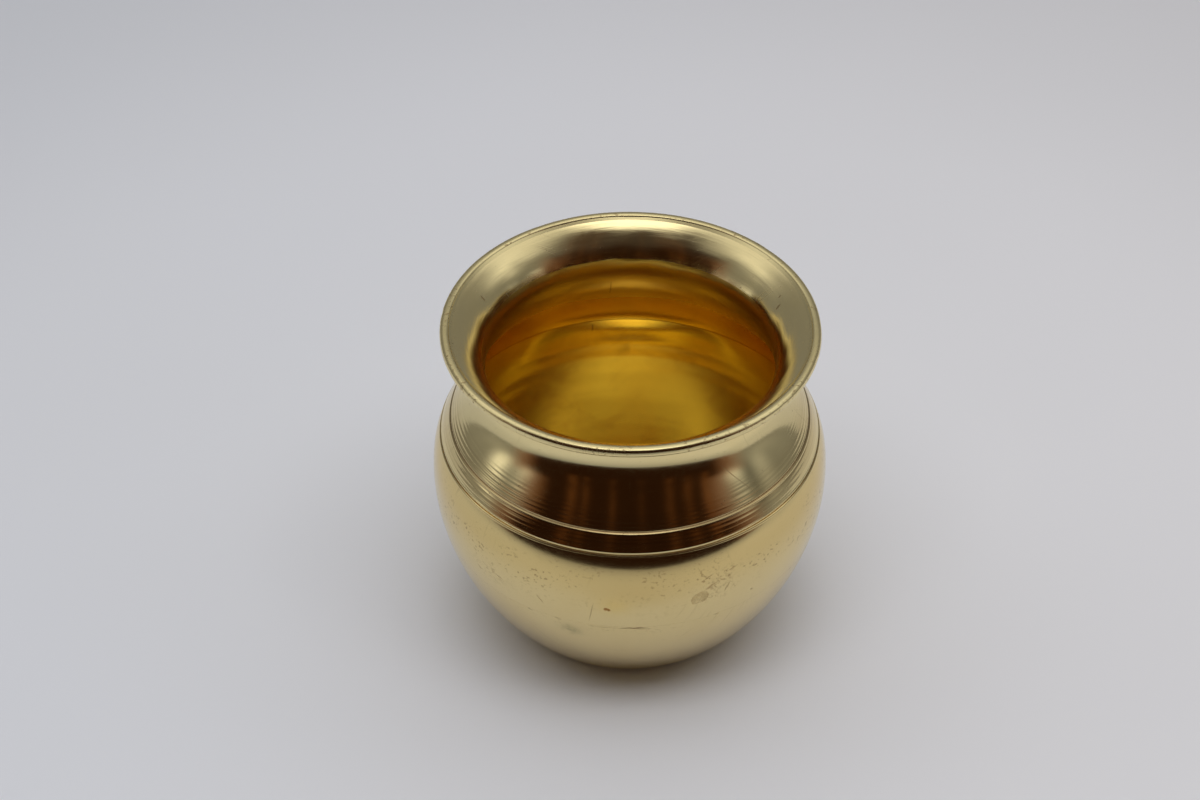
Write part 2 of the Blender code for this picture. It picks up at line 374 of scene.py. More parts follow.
opening = math.acos(RIM_SEAT / RIM_TUBE)
turn = np.linspace(opening, 2 * math.pi - opening, 44)
ring_profile = RING - RIM_TUBE * (np.cos(turn)[:, None] * ALONG + np.sin(turn)[:, None] * ACROSS)
# the top of the bead is worn a little flat
unit = np.abs(ring_profile - RING) / RIM_TUBE
fuller = 1 / (unit[:, 0] ** WORN + unit[:, 1] ** WORN) ** (1 / WORN) - 1
on_top = smooth((ring_profile[:, 1] - RING[1]) / (0.5 * RIM_TUBE)) * smooth((np.arange(44) - 2) / 4.0) * smooth((41 - np.arange(44)) / 4.0)
ring_profile = RING + (ring_profile - RING) * (1 + fuller * on_top)[:, None]


def nicks(ring, height, theta):
    """Small dents along the bead: angle from the front in degrees, length, depth."""
    for at, size, depth in (
        (-38.0, 1.3, 0.10),
        (-12.0, 0.8, 0.06),
        (21.0, 1.0, 0.07),
        (52.0, 0.9, 0.08),
        (75.0, 1.2, 0.06),
        (-96.0, 1.1, 0.09),
        (131.0, 1.4, 0.08),
        (-150.0, 1.0, 0.07),
    ):
        d = (np.degrees(theta) - at + 180) % 360 - 180
        ring = ring - depth * np.exp(-((d / size) ** 2)) * np.clip((ring - RIM_R) / RIM_TUBE, 0, 1)
    return ring, height


ring_obj = turned("rim_ring_skin", "rim_ring", [(ring_profile, 0)], ring_waves, extra=nicks)


def lip_point(u, v):
    return EDGE + u * ALONG + v * ACROSS


# brazing metal between the lip and the ring: flush inside, hollow fillet outside
fillet = [(0.39, -0.385), (0.39, 1.0), (0.30, 1.05), (0.10, 0.80), (-0.20, 0.60), (-0.50, 0.525), (-0.50, 0.512)]
fillet += [(0.015, 0.512), (0.015, -0.49), (0.01, -0.50), (0.35, -0.545), (0.70, -0.59), (0.95, -0.622)]
fillet += [(0.70, -0.557), (0.50, -0.459)]
rim_braze = turned("rim_braze_skin", "rim_braze", [(np.array([lip_point(u, v) for u, v in fillet]), 0)], body_waves)

layer = slice(2, len(lap_points) - 2, 6)
shoulder_profile = np.concatenate(
    [
        (lap_points - (THINNED + 0.02) * lap_normals)[layer],
        (lap_points - (SHEET - THINNED - 0.02) * lap_normals)[layer][::-1],
    ]
)
shoulder_braze = turned("shoulder_braze_skin", "shoulder_braze", [(shoulder_profile, 0)], body_waves)

girth_z = np.linspace(GIRTH_Z - 0.3, ledge - LAP + 0.1, 10)
girth_profile = np.concatenate(
    [
        np.array([lap_at(v, THINNED + 0.02) for v in girth_z]),
        np.array([lap_at(v, SHEET - THINNED - 0.02) for v in girth_z[::-1]]),
    ]
)
girth = turned("girth_braze_skin", "girth_braze", [(girth_profile, 0)], body_waves)


# ---------------------------------------------------------------- materials
class Shader:
    """Small helper that wires procedural nodes."""

    def __init__(self, name):
        self.mat = bpy.data.materials.new(name)
        self.mat.use_nodes = True
        self.tree = self.mat.node_tree
        self.bsdf = self.tree.nodes["Principled BSDF"]
        self.coord = self.tree.nodes.new("ShaderNodeTexCoord").outputs["Object"]

    def put(self, socket, value):
        if isinstance(value, bpy.types.NodeSocket):
            self.tree.links.new(value, socket)
        elif value is not None:
            socket.default_value = value

    def node(self, kind, **settings):
        made = self.tree.nodes.new(kind)
        for key, value in settings.items():
            setattr(made, key, value)
        return made

    def math(self, op, a, b=None, clamp=False):
        n = self.node("ShaderNodeMath", operation=op, use_clamp=clamp)
        self.put(n.inputs[0], a)
        self.put(n.inputs[1], b)
        return n.outputs[0]

    def place(self, scale=(1, 1, 1), turn=(0, 0, 0), move=(0, 0, 0), source=None):
        n = self.node("ShaderNodeMapping")
        self.put(n.inputs["Vector"], source or self.coord)
        n.inputs["Scale"].default_value = scale
        n.inputs["Rotation"].default_value = [math.radians(v) for v in turn]
        n.inputs["Location"].default_value = move
        return n.outputs[0]

    def noise(self, vector, scale=1.0, detail=2.0, rough=0.5, distortion=0.0):
        n = self.node("ShaderNodeTexNoise")
        self.put(n.inputs["Vector"], vector)
        n.inputs["Scale"].default_value = scale
        n.inputs["Detail"].default_value = detail
        n.inputs["Roughness"].default_value = rough
        n.inputs["Distortion"].default_value = distortion
        return n.outputs["Fac"]

    def ramp(self, value, low, high, out_low=0.0, out_high=1.0):
        n = self.node("ShaderNodeMapRange", clamp=True)
        n.interpolation_type = "SMOOTHSTEP"
        self.put(n.inputs["Value"], value)
        n.inputs["From Min"].default_value = low
        n.inputs["From Max"].default_value = high
        n.inputs["To Min"].default_value = out_low
        n.inputs["To Max"].default_value = out_high
        return n.outputs["Result"]

    def mix(self, factor, a, b):
        n = self.node("ShaderNodeMix", data_type="RGBA")
        self.put(n.inputs["Factor"], factor)
        self.put(n.inputs["A"], a)
        self.put(n.inputs["B"], b)
        return n.outputs["Result"]

    def xyz(self, source=None):
        n = self.node("ShaderNodeSeparateXYZ")
        self.put(n.inputs[0], source or self.coord)
        return n.outputs

    def bump(self, height, strength, distance, normal=None):
        n = self.node("ShaderNodeBump")
        n.inputs["Strength"].default_value = strength
        n.inputs["Distance"].default_value = distance
        self.put(n.inputs["Height"], height)
        self.put(n.inputs["Normal"], normal)
        return n.outputs[0]

    def scratches(self, seed, count, sparse):
        """Fine straight scratches in several directions, 0 to 1."""
        rng = np.random.default_rng(int(seed * 10))
        total = None
        for _ in range(count):
            turn = rng.uniform(0, 180, 3)
            v = self.place((30, 2600, 30), turn, rng.uniform(-3, 3, 3))
            line = self.ramp(self.noise(v, 1.0, 0.0, 0.4), 0.70, 0.76)
            where = self.ramp(self.noise(self.place((70, 70, 70), turn, rng.uniform(-3, 3, 3)), 1.0, 1.0), sparse, sparse + 0.12)
            line = self.math("MULTIPLY", line, where)
            total = line if total is None else self.math("MAXIMUM", total, line)
        return total

    def crinkles(self, scale, width, seed):
        """Short curling hairlines, 0 to 1."""
        total = None
        for k in range(3):
            v = self.place((scale, scale, scale), (40 * k, 25 * k, 70 * k), (seed + k, 2.0 * k, seed))
            n = self.noise(v, 1.0, 1.5, 0.5, 0.8)
            line = self.ramp(self.math("ABSOLUTE", self.math("SUBTRACT", n, 0.5)), 0.0, width, 1.0, 0.0)
            broken = self.ramp(self.noise(self.place((400, 400, 400), move=(k, seed, 1.0)), 1.0, 1.0), 0.5, 0.6)
            line = self.math("MULTIPLY", line, broken)
            total = line if total is None else self.math("MAXIMUM", total, line)
        return total

    def round_it(self):
        """Angle from the front in degrees, positive to the right, and height in millimetres."""
        x, y, z = self.xyz()
        angle = self.math("MULTIPLY", self.math("ARCTAN2", x, self.math("MULTIPLY", y, -1.0)), 180 / math.pi)
        return angle, self.math("MULTIPLY", z, 1000.0)

    def mark(self, at, size, tilt=0.0, radius=47.0, wobble=None):
        """Soft oval at an angle and height. Its half sizes are in millimetres, 1 in the middle."""
        angle, height = self.where
        u = self.math("MULTIPLY", self.math("SUBTRACT", angle, at[0]), radius * math.pi / 180)
        v = self.math("SUBTRACT", height, at[1])
        if wobble is not None:
            v = self.math("ADD", v, wobble)
        c, k = math.cos(math.radians(tilt)), math.sin(math.radians(tilt))
        p = self.math("ADD", self.math("MULTIPLY", u, c / size[0]), self.math("MULTIPLY", v, k / size[0]))
        q = self.math("SUBTRACT", self.math("MULTIPLY", v, c / size[1]), self.math("MULTIPLY", u, k / size[1]))
        d = self.math("ADD", self.math("MULTIPLY", p, p), self.math("MULTIPLY", q, q))
        return self.math("EXPONENT", self.math("MULTIPLY", d, -1.0))

    def most(self, values):
        total = values[0]
        for v in values[1:]:
            total = self.math("MAXIMUM", total, v)
        return total


BRASS = (0.89, 0.745, 0.385, 1)
FILM = (0.86, 0.68, 0.30, 1)
BROWN = (0.20, 0.095, 0.03, 1)
DULL = (0.70, 0.57, 0.30, 1)
# darker copies of the brass and its yellow tone for the belly and bowl: painted shade
BELLY_BRASS_SHADED = (0.80, 0.65, 0.325, 1)
BELLY_YELLOW_SHADED = (0.72, 0.545, 0.225, 1)
BEAD_BRASS = (0.83, 0.70, 0.36, 1)
GOLD = (0.91, 0.705, 0.18, 1)
GOLD_DEEP = (0.86, 0.63, 0.15, 1)
GOLD_BROWN = (0.66, 0.43, 0.09, 1)
NECK_FILM = (0.45, 0.31, 0.13, 1)
SMUDGE = (0.40, 0.34, 0.17, 1)
TARNISH = (0.42, 0.27, 0.10, 1)


def outside(name, seed, rough=0.14, top_shade=None, speckle=None, marks=None, peel=0.25, lines=(), brass=BRASS, yellow=FILM, lip=None, residue=None):
    """Polished brass. top_shade: height and spread of a darker yellow band, painted shade near the top of the belly.
    speckle: height and spread of a band
    of fine pits. marks: adds single marks. lines: heights of grooves, painted darker there as painted shade. lip:
    height above which the metal is brushed round the rim. residue: height and spread of old polish left in fine lines."""
    s = Shader(name)
    s.where = s.round_it()
    height = s.where[1]
    cloud = s.noise(s.place((42, 42, 42), move=(seed, 0, 0)), 1.0, 4.0, 0.55)
    fine = s.noise(s.place((520, 520, 520), move=(0, seed, 0)), 1.0, 3.0, 0.6)
    grain = s.noise(s.place((1500, 1500, 1500), move=(seed, 0, seed)), 1.0, 1.0, 0.5)
    hair = s.scratches(seed + 1, 4, 0.60)
    tint = s.mix(s.ramp(cloud, 0.45, 0.8, 0.0, 0.45), brass, yellow)
    # a darker yellow band near the top of the belly: painted shade
    if top_shade is not None:
        d = s.math("DIVIDE", s.math("SUBTRACT", height, top_shade[0]), top_shade[1])
        near = s.math("EXPONENT", s.math("MULTIPLY", s.math("MULTIPLY", d, d), -1.0))
        tint = s.mix(s.math("MULTIPLY", near, 0.8), tint, yellow)
    if residue is not None:
        d = s.math("DIVIDE", s.math("SUBTRACT", height, residue[0]), residue[1])
        near = s.math("EXPONENT", s.math("MULTIPLY", s.math("MULTIPLY", d, d), -1.0))
        bands = s.noise(s.place((6, 6, 2400), move=(0.4, seed, 0)), 1.0, 2.0, 0.6)
        tint = s.mix(s.math("MULTIPLY", near, s.ramp(bands, 0.35, 0.65, 0.25, 0.6)), tint, NECK_FILM)
    r = s.ramp(cloud, 0.3, 0.75, rough - 0.015, rough + 0.03)
    r = s.math("ADD", r, s.ramp(fine, 0.4, 0.8, 0.0, 0.03))
    r = s.math("ADD", r, s.math("MULTIPLY", hair, 0.10))
    tint = s.mix(s.math("MULTIPLY", hair, 0.10), tint, BROWN)
    normal = s.bump(cloud, peel, 0.00012)
    if lip is not None:
        on_lip = s.ramp(height, lip, lip + 2.5)
        x, y, z = s.xyz()
        radius = s.math("SQRT", s.math("ADD", s.math("MULTIPLY", x, x), s.math("MULTIPLY", y, y)))
        v = s.node("ShaderNodeCombineXYZ")
        s.put(v.inputs[0], s.math("MULTIPLY", s.where[0], 0.05))
        s.put(v.inputs[1], s.math("MULTIPLY", radius, 1500.0))
        s.put(v.inputs[2], s.math("MULTIPLY", z, 1500.0))
        brushed = s.noise(v.outputs[0], 1.0, 3.0, 0.65)
        n = s.node("ShaderNodeBump")
        n.inputs["Distance"].default_value = 0.00003
        s.put(n.inputs["Strength"], s.math("MULTIPLY", on_lip, 0.7))
        s.put(n.inputs["Height"], brushed)
        s.put(n.inputs["Normal"], normal)
        normal = n.outputs[0]
        r = s.math("ADD", r, s.math("MULTIPLY", on_lip, s.ramp(brushed, 0.3, 0.7, 0.02, 0.09)))
        tint = s.mix(s.math("MULTIPLY", on_lip, s.ramp(brushed, 0.55, 0.75, 0.0, 0.22)), tint, DULL)
    # the grooves are painted darker: painted shade in the grooves
    for at, much in lines:
        d = s.math("DIVIDE", s.math("SUBTRACT", height, at), 0.26)
        dark = s.math("EXPONENT", s.math("MULTIPLY", s.math("MULTIPLY", d, d), -1.0))
        tint = s.mix(s.math("MULTIPLY", dark, s.ramp(cloud, 0.3, 0.7, 0.75 * much, much)), tint, BROWN)
        r = s.math("ADD", r, s.math("MULTIPLY", dark, 0.15))
    pits = s.ramp(grain, 0.74, 0.80)
    if speckle is not None:
        d = s.math("DIVIDE", s.math("SUBTRACT", height, speckle[0]), speckle[1])
        near = s.math("EXPONENT", s.math("MULTIPLY", s.math("MULTIPLY", d, d), -1.0))
        patch = s.ramp(s.noise(s.place((110, 110, 210), move=(0, 0, seed)), 1.0, 2.0, 0.55), 0.42, 0.58)
        dots = s.ramp(s.noise(s.place((1000, 1000, 1300), move=(seed, 0, 0.4)), 1.0, 1.0, 0.5), 0.57, 0.70)
        spread = s.math("MULTIPLY", s.math("MULTIPLY", near, patch), dots)
        pits = s.math("MAXIMUM", s.math("MULTIPLY", pits, 0.6), spread)
    tint = s.mix(s.math("MULTIPLY", pits, 0.50), tint, BROWN)
    r = s.math("ADD", r, s.math("MULTIPLY", pits, 0.12))
    normal = s.bump(s.math("SUBTRACT", 0.0, pits), 0.35, 0.00002, normal)
    normal = s.bump(s.math("SUBTRACT", 0.0, hair), 0.25, 0.000008, normal)
    if marks is not None:
        tint, r, normal = marks(s, tint, r, normal, fine)
    s.put(s.bsdf.inputs["Base Color"], tint)
    s.bsdf.inputs["Metallic"].default_value = 1.0
    s.put(s.bsdf.inputs["Roughness"], r)
    s.put(s.bsdf.inputs["Normal"], normal)
    return s.mat


def belly_marks(s, tint, r, normal, fine):
    """A stain, a dull rubbed patch and fine scratches, as on the front of the pot."""
    ragged = s.math("MULTIPLY", s.math("SUBTRACT", fine, 0.5), 1.6)
    stain = s.ramp(s.mark((-6.0, 40.6), (1.0, 0.7), wobble=ragged), 0.35, 0.7)
    halo = s.mark((-4.0, 42.0), (3.6, 2.6), wobble=ragged)
    patch = s.ramp(s.mark((20.5, 42.3), (2.6, 2.1), tilt=35, wobble=ragged), 0.42, 0.5)
    rim = s.math("MULTIPLY", patch, s.ramp(s.mark((20.5, 42.3), (2.6, 2.1), tilt=35, wobble=ragged), 0.5, 0.62, 1.0, 0.25))
    curl = s.most(
        [
            s.ramp(s.mark((24.0, 45.3), (2.4, 0.35), tilt=28, wobble=ragged), 0.4, 0.8),
            s.ramp(s.mark((27.5, 46.2), (1.6, 0.28), tilt=-40, wobble=ragged), 0.4, 0.8),
            s.ramp(s.mark((29.0, 43.2), (2.0, 0.25), tilt=60, wobble=ragged), 0.4, 0.8),
            s.ramp(s.mark((23.0, 48.2), (1.7, 0.22), tilt=20, wobble=ragged), 0.4, 0.8),
            s.ramp(s.mark((-48.0, 39.5), (1.2, 0.35), tilt=-25, wobble=ragged), 0.4, 0.8),
            s.ramp(s.mark((-40.0, 40.8), (2.0, 0.20), tilt=-20, wobble=ragged), 0.4, 0.8),
            s.ramp(s.mark((-26.0, 39.6), (1.8, 0.25), tilt=-55, wobble=ragged), 0.4, 0.8),
            s.ramp(s.mark((38.0, 38.0), (0.6, 0.5), wobble=ragged), 0.4, 0.8),
        ]
    )
    rub = s.most(
        [
            s.mark((27.0, 45.0), (6.5, 4.5), tilt=25, wobble=ragged),
            s.math("MULTIPLY", s.mark((-44.0, 40.0), (6.5, 3.2), wobble=ragged), 0.7),
            s.math("MULTIPLY", s.mark((6.0, 38.0), (5.0, 2.5), wobble=ragged), 0.35),
        ]
    )
    worn = s.math("MULTIPLY", s.ramp(rub, 0.2, 0.6), s.crinkles(310, 0.016, 5.0))
    mottle = s.math("MULTIPLY", rub, s.ramp(s.noise(s.place((700, 700, 700), move=(3, 1, 2)), 1.0, 3.0, 0.6), 0.52, 0.68))
    curl = s.most([curl, worn, s.math("MULTIPLY", mottle, 0.7)])
    slash = s.ramp(s.mark((-10.6, 39.0), (4.6, 0.2), tilt=80, wobble=s.math("MULTIPLY", ragged, 0.5)), 0.4, 0.9)
    smudge = s.mark((-17.0, 30.6), (3.0, 1.9), wobble=ragged)
    yellow = s.mark((1.0, 46.0), (12.0, 4.5), wobble=ragged)
    tint = s.mix(s.math("MULTIPLY", yellow, 0.5), tint, (0.64, 0.46, 0.165, 1))
    tint = s.mix(s.math("MULTIPLY", halo, 0.45), tint, (0.80, 0.58, 0.18, 1))
    tint = s.mix(s.math("MULTIPLY", stain, 0.85), tint, (0.34, 0.15, 0.03, 1))
    tint = s.mix(s.math("MULTIPLY", patch, s.ramp(fine, 0.35, 0.65, 0.25, 0.65)), tint, (0.50, 0.37, 0.16, 1))
    tint = s.mix(s.math("MULTIPLY", rim, 0.08), tint, BROWN)
    tint = s.mix(s.math("MULTIPLY", curl, 0.45), tint, BROWN)
    tint = s.mix(s.math("MULTIPLY", slash, 0.42), tint, BROWN)
    tint = s.mix(s.math("MULTIPLY", smudge, s.ramp(fine, 0.35, 0.65, 0.3, 0.75)), tint, SMUDGE)
    for value, much in ((stain, 0.25), (patch, 0.12), (curl, 0.15), (slash, 0.10), (smudge, 0.06)):
        r = s.math("ADD", r, s.math("MULTIPLY", value, much))
    normal = s.bump(s.math("SUBTRACT", 0.0, s.most([stain, curl, slash])), 0.4, 0.00003, normal)
    return tint, r, normal


def bowl_marks(s, tint, r, normal, fine):
    """The hairline along the seam and a few scuffs below it."""
    ragged = s.math("MULTIPLY", s.math("SUBTRACT", fine, 0.5), 0.7)
    line = s.most(
        [
            s.ramp(s.mark((1.5, 33.75), (4.2, 0.22), tilt=2, wobble=ragged), 0.3, 0.75),
            s.ramp(s.mark((4.5, 33.3), (2.4, 0.12), tilt=-4, wobble=ragged), 0.35, 0.8),
            s.math("MULTIPLY", s.ramp(s.mark((-7.0, 33.6), (3.0, 0.12), wobble=ragged), 0.35, 0.8), 0.5),
        ]
    )
    smudge = s.mark((-17.0, 30.6), (3.0, 1.9), wobble=ragged)
    tint = s.mix(s.math("MULTIPLY", line, 0.8), tint, BROWN)
    tint = s.mix(s.math("MULTIPLY", smudge, s.ramp(fine, 0.35, 0.65, 0.3, 0.75)), tint, SMUDGE)
    r = s.math("ADD", r, s.math("MULTIPLY", line, 0.15))
    r = s.math("ADD", r, s.math("MULTIPLY", smudge, 0.08))
    normal = s.bump(s.math("SUBTRACT", 0.0, line), 0.5, 0.00004, normal)
    return tint, r, normal


def lip_marks(s, tint, r, normal, fine):
    """Short dark marks inside the lip and an uneven dark edge low on its right side."""
    ragged = s.math("MULTIPLY", s.math("SUBTRACT", fine, 0.5), 1.2)
    spots = s.most(
        [
            s.ramp(s.mark((-112.0, 84.2), (0.35, 1.0), radius=39, wobble=ragged), 0.4, 0.8),
            s.ramp(s.mark((110.0, 83.5), (0.40, 0.9), radius=38, wobble=ragged), 0.4, 0.8),
            s.ramp(s.mark((113.0, 84.8), (0.30, 0.5), radius=40, wobble=ragged), 0.4, 0.8),
            s.ramp(s.mark((-34.0, 84.0), (0.40, 0.5), radius=40, wobble=ragged), 0.4, 0.8),
        ]
    )
    tint = s.mix(s.math("MULTIPLY", spots, 0.6), tint, BROWN)
    r = s.math("ADD", r, s.math("MULTIPLY", spots, 0.2))
    return tint, r, normal


def inside(name, seed):
    s = Shader(name)
    s.where = s.round_it()
    cloud = s.noise(s.place((34, 34, 34), move=(2.2, 1, 0)), 1.0, 1.0, 0.5)
    ripple = s.noise(s.place((6, 6, 260), move=(2.2, 0.2, 0.1)), 1.0, 1.0, 0.5)
    fine = s.noise(s.place((500, 500, 500), move=(0, seed, 0)), 1.0, 3.0, 0.65)
    ragged = s.math("MULTIPLY", s.math("SUBTRACT", fine, 0.5), 1.5)
    # short dark vertical streaks on the far inner wall
    dark_streaks = s.most(
        [
            s.ramp(s.mark((-172.0, 71.0), (0.25, 3.6), radius=37, wobble=ragged), 0.35, 0.8),
            s.ramp(s.mark((-168.0, 50.2), (0.30, 1.4), radius=46, wobble=ragged), 0.35, 0.8),
            s.math("MULTIPLY", s.mark((-178.5, 42.0), (1.2, 2.4), tilt=60, radius=46, wobble=ragged), 0.7),
        ]
    )
    tint = s.mix(s.ramp(cloud, 0.40, 0.75), GOLD, GOLD_DEEP)
    blotch = s.noise(s.place((75, 75, 75), move=(1.4, 3.1, 0.7)), 1.0, 4.0, 0.6, 0.7)
    tint = s.mix(s.math("MULTIPLY", s.ramp(blotch, 0.48, 0.66, 0.0, 0.45), s.ramp(s.where[1], 44.0, 56.0, 1.0, 0.35)), tint, GOLD_BROWN)
    dark_band = s.math("MULTIPLY", s.ramp(s.where[1], 65.0, 73.0), s.ramp(s.where[1], 77.0, 80.0, 1.0, 0.45))
    dark_band = s.math("MULTIPLY", dark_band, s.ramp(s.math("ABSOLUTE", s.where[0]), 125.0, 155.0, 0.97, 0.74))
    tint = s.mix(dark_band, tint, TARNISH)
    tint = s.mix(s.math("MULTIPLY", dark_streaks, 0.55), tint, BROWN)
    s.put(s.bsdf.inputs["Base Color"], tint)
    s.bsdf.inputs["Metallic"].default_value = 1.0
    neck_part = s.ramp(s.where[1], 59.0, 68.0)
    haze = s.math("MULTIPLY", s.ramp(s.where[1], 3.5, 8.0, 0.6, 1.0), s.ramp(s.where[1], 38.0, 50.0, 1.0, 0.15))
    r = s.math("ADD", s.ramp(cloud, 0.3, 0.8, 0.12, 0.16), s.math("MULTIPLY", neck_part, 0.14))
    r = s.math("ADD", r, s.math("MULTIPLY", haze, 0.10))
    s.put(s.bsdf.inputs["Roughness"], r)
    n = s.bump(ripple, 0.25, 0.00012)
    s.put(s.bsdf.inputs["Normal"], n)
    return s.mat


def spelter(name, seed):
    s = Shader(name)
    lump = s.noise(s.place((400, 400, 400), move=(seed, 0, 0)), 1.0, 3.0, 0.6)
    tint = s.mix(s.ramp(lump, 0.35, 0.7), GOLD, (0.72, 0.49, 0.11, 1))
    s.put(s.bsdf.inputs["Base Color"], tint)
    s.bsdf.inputs["Metallic"].default_value = 1.0
    s.put(s.bsdf.inputs["Roughness"], s.ramp(lump, 0.2, 0.8, 0.26, 0.34))
    s.put(s.bsdf.inputs["Normal"], s.bump(lump, 0.2, 0.00003))
    return s.mat


collar_mat = outside("turned_brass_collar", 1.7, rough=0.11, marks=lip_marks, lines=((GROOVE_1[1], 0.9), (GROOVE_2[1], 0.22)), lip=77.5, residue=(61.0, 3.4))
belly_mat = outside("polished_brass_belly", 4.3, rough=0.14, top_shade=(51.5, 6.5), speckle=(47.5, 5.5), marks=belly_marks, lines=((GROOVE_2[1], 0.22),), brass=BELLY_BRASS_SHADED, yellow=BELLY_YELLOW_SHADED)
bowl_mat = outside("polished_brass_bowl", 2.9, rough=0.15, speckle=(35.0, 2.5), marks=bowl_marks, brass=BELLY_BRASS_SHADED, yellow=BELLY_YELLOW_SHADED)
ring_mat = outside("polished_brass_ring", 6.1, rough=0.15, speckle=(87.0, 5.0), lip=80.0, brass=BEAD_BRASS)
joint_mat = outside("polished_brass_joint", 7.7, rough=0.24, brass=BEAD_BRASS, yellow=DULL)
inner_collar_mat = inside("gold_inside_neck", 5.4)
inner_mat = inside("gold_inside_belly", 2.2)
inner_bowl_mat = inside("gold_inside_bowl", 3.8)
spelter_mat = spelter("brazing_metal", 1.0)

for obj, mats in (
    (collar, (collar_mat, inner_collar_mat)),
    (belly_obj, (belly_mat, inner_mat)),
    (bowl, (bowl_mat, inner_bowl_mat)),
    (ring_obj, (ring_mat,)),
    (rim_braze, (joint_mat,)),
    (shoulder_braze, (spelter_mat,)),
    (girth, (spelter_mat,)),
):
    for m in mats:
        obj.data.materials.append(m)

# ---------------------------------------------------------------- floor
floor_mesh = bpy.data.meshes.new("floor")
cells = 24
xs = np.linspace(-0.75, 0.75, cells + 1)
ys = np.linspace(-0.23, 1.15, cells + 1)
pts = [(float(x), float(y), 0.0) for y in ys for x in xs]
quads = [
    (j * (cells + 1) + i, j * (cells + 1) + i + 1, (j + 1) * (cells + 1) + i + 1, (j + 1) * (cells + 1) + i)
    for j in range(cells)
    for i in range(cells)
]
floor_mesh.from_pydata(pts, [], quads)
floor = bpy.data.objects.new("floor", floor_mesh)
bpy.context.scene.collection.objects.link(floor)
f = Shader("pale_sheet")
soft = f.noise(f.place((5, 5, 5)), 1.0, 2.0, 0.5)
# the sheet is painted darker and bluer to the left and lighter to the right: painted light
painted_side_light = f.ramp(f.xyz()[0], -0.28, 0.25)
sheet = f.mix(painted_side_light, (0.80, 0.825, 0.88, 1), (0.88, 0.875, 0.90, 1))
sheet = f.mix(f.ramp(soft, 0.3, 0.7, 0.0, 0.25), sheet, (0.80, 0.805, 0.83, 1))
fx, fy, _ = f.xyz()
# the sheet is painted darker away from the pot towards the corners: painted shade
painted_falloff = f.math("SQRT", f.math("ADD", f.math("MULTIPLY", fx, fx), f.math("MULTIPLY", fy, fy)))
sheet = f.mix(f.ramp(painted_falloff, 0.19, 0.36, 0.0, 0.21), sheet, (0.30, 0.305, 0.32, 1))
# the sheet is painted dark towards its front edge, nearest the viewer: painted shadow
painted_front_shadow = f.ramp(f.xyz()[1], -0.23, -0.09, 0.6, 0.0)
f.put(f.bsdf.inputs["Base Color"], f.mix(painted_front_shadow, sheet, (0.24, 0.25, 0.265, 1)))
f.bsdf.inputs["Roughness"].default_value = 0.85
f.bsdf.inputs["Specular IOR Level"].default_value = 0.2
floor_mesh.materials.append(f.mat)

# ---------------------------------------------------------------- soft studio light: a panel overhead, pale walls that are
# brighter at the sides, and a dim warm room towards the viewer
world = bpy.data.worlds.new("studio")
bpy.context.scene.world = world
world.use_nodes = True
wt = world.node_tree
wn = wt.nodes
back = wn["Background"]
gen = wn.new("ShaderNodeTexCoord").outputs["Generated"]


def wput(socket, value):
    if isinstance(value, bpy.types.NodeSocket):
        wt.links.new(value, socket)
    elif value is not None:
        socket.default_value = value


def wmath(op, a, b=None, clamp=False):
    n = wn.new("ShaderNodeMath")
    n.operation = op
    n.use_clamp = clamp
    wput(n.inputs[0], a)
    wput(n.inputs[1], b)
    return n.outputs[0]


def wramp(value, low, high, out_low=0.0, out_high=1.0):
    n = wn.new("ShaderNodeMapRange")
    n.clamp = True
    n.interpolation_type = "SMOOTHSTEP"
    wput(n.inputs["Value"], value)
    n.inputs["From Min"].default_value = low
    n.inputs["From Max"].default_value = high
    n.inputs["To Min"].default_value = out_low
    n.inputs["To Max"].default_value = out_high
    return n.outputs["Result"]


def wadd(*values):
    total = values[0]
    for v in values[1:]:
        total = wmath("ADD", total, v)
    return total


sep = wn.new("ShaderNodeSeparateXYZ")
wt.links.new(gen, sep.inputs[0])
dx, dy, dz = sep.outputs
azimuth = wmath("MULTIPLY", wmath("ARCTAN2", dx, wmath("MULTIPLY", dy, -1.0)), 180 / math.pi)
elevation = wmath("MULTIPLY", wmath("ARCSINE", dz), 180 / math.pi)


def bell(value, at, wide):
    d = wmath("DIVIDE", wmath("SUBTRACT", value, at), wide)
    return wmath("EXPONENT", wmath("MULTIPLY", wmath("MULTIPLY", d, d), -1.0))


def lobe(az, el, wide, high, amount):
    return wmath("MULTIPLY", wmath("MULTIPLY", bell(azimuth, az, wide), bell(elevation, el, high)), amount)


WALL, CEILING, PANEL = 0.21, 0.75, 0.9
walls = wadd(wramp(elevation, -12.0, -3.0, 0.10, WALL), wramp(elevation, 37.0, 51.0, 0.0, CEILING - WALL))
edge = wmath("DIVIDE", wmath("SUBTRACT", wmath("ABSOLUTE", azimuth), wadd(wramp(azimuth, -10.0, 10.0, 50.0, 43.0), wramp(elevation, 9.0, 14.0, 10.0, 0.0))), wadd(wramp(elevation, 25.0, 60.0, 26.0, 55.0), wramp(azimuth, -10.0, 10.0, 0.0, 5.0)))
front = wmath("MULTIPLY", wramp(edge, 0.0, 1.0, 1.0, 0.0), wramp(elevation, 64.0, 77.0, 1.0, 0.0))
open_part = wmath("SUBTRACT", 1.0, wmath("MULTIPLY", front, 0.96))
walls = wmath("MULTIPLY", walls, wmath("POWER", open_part, wramp(elevation, 28.0, 42.0, 1.8, 1.0)))
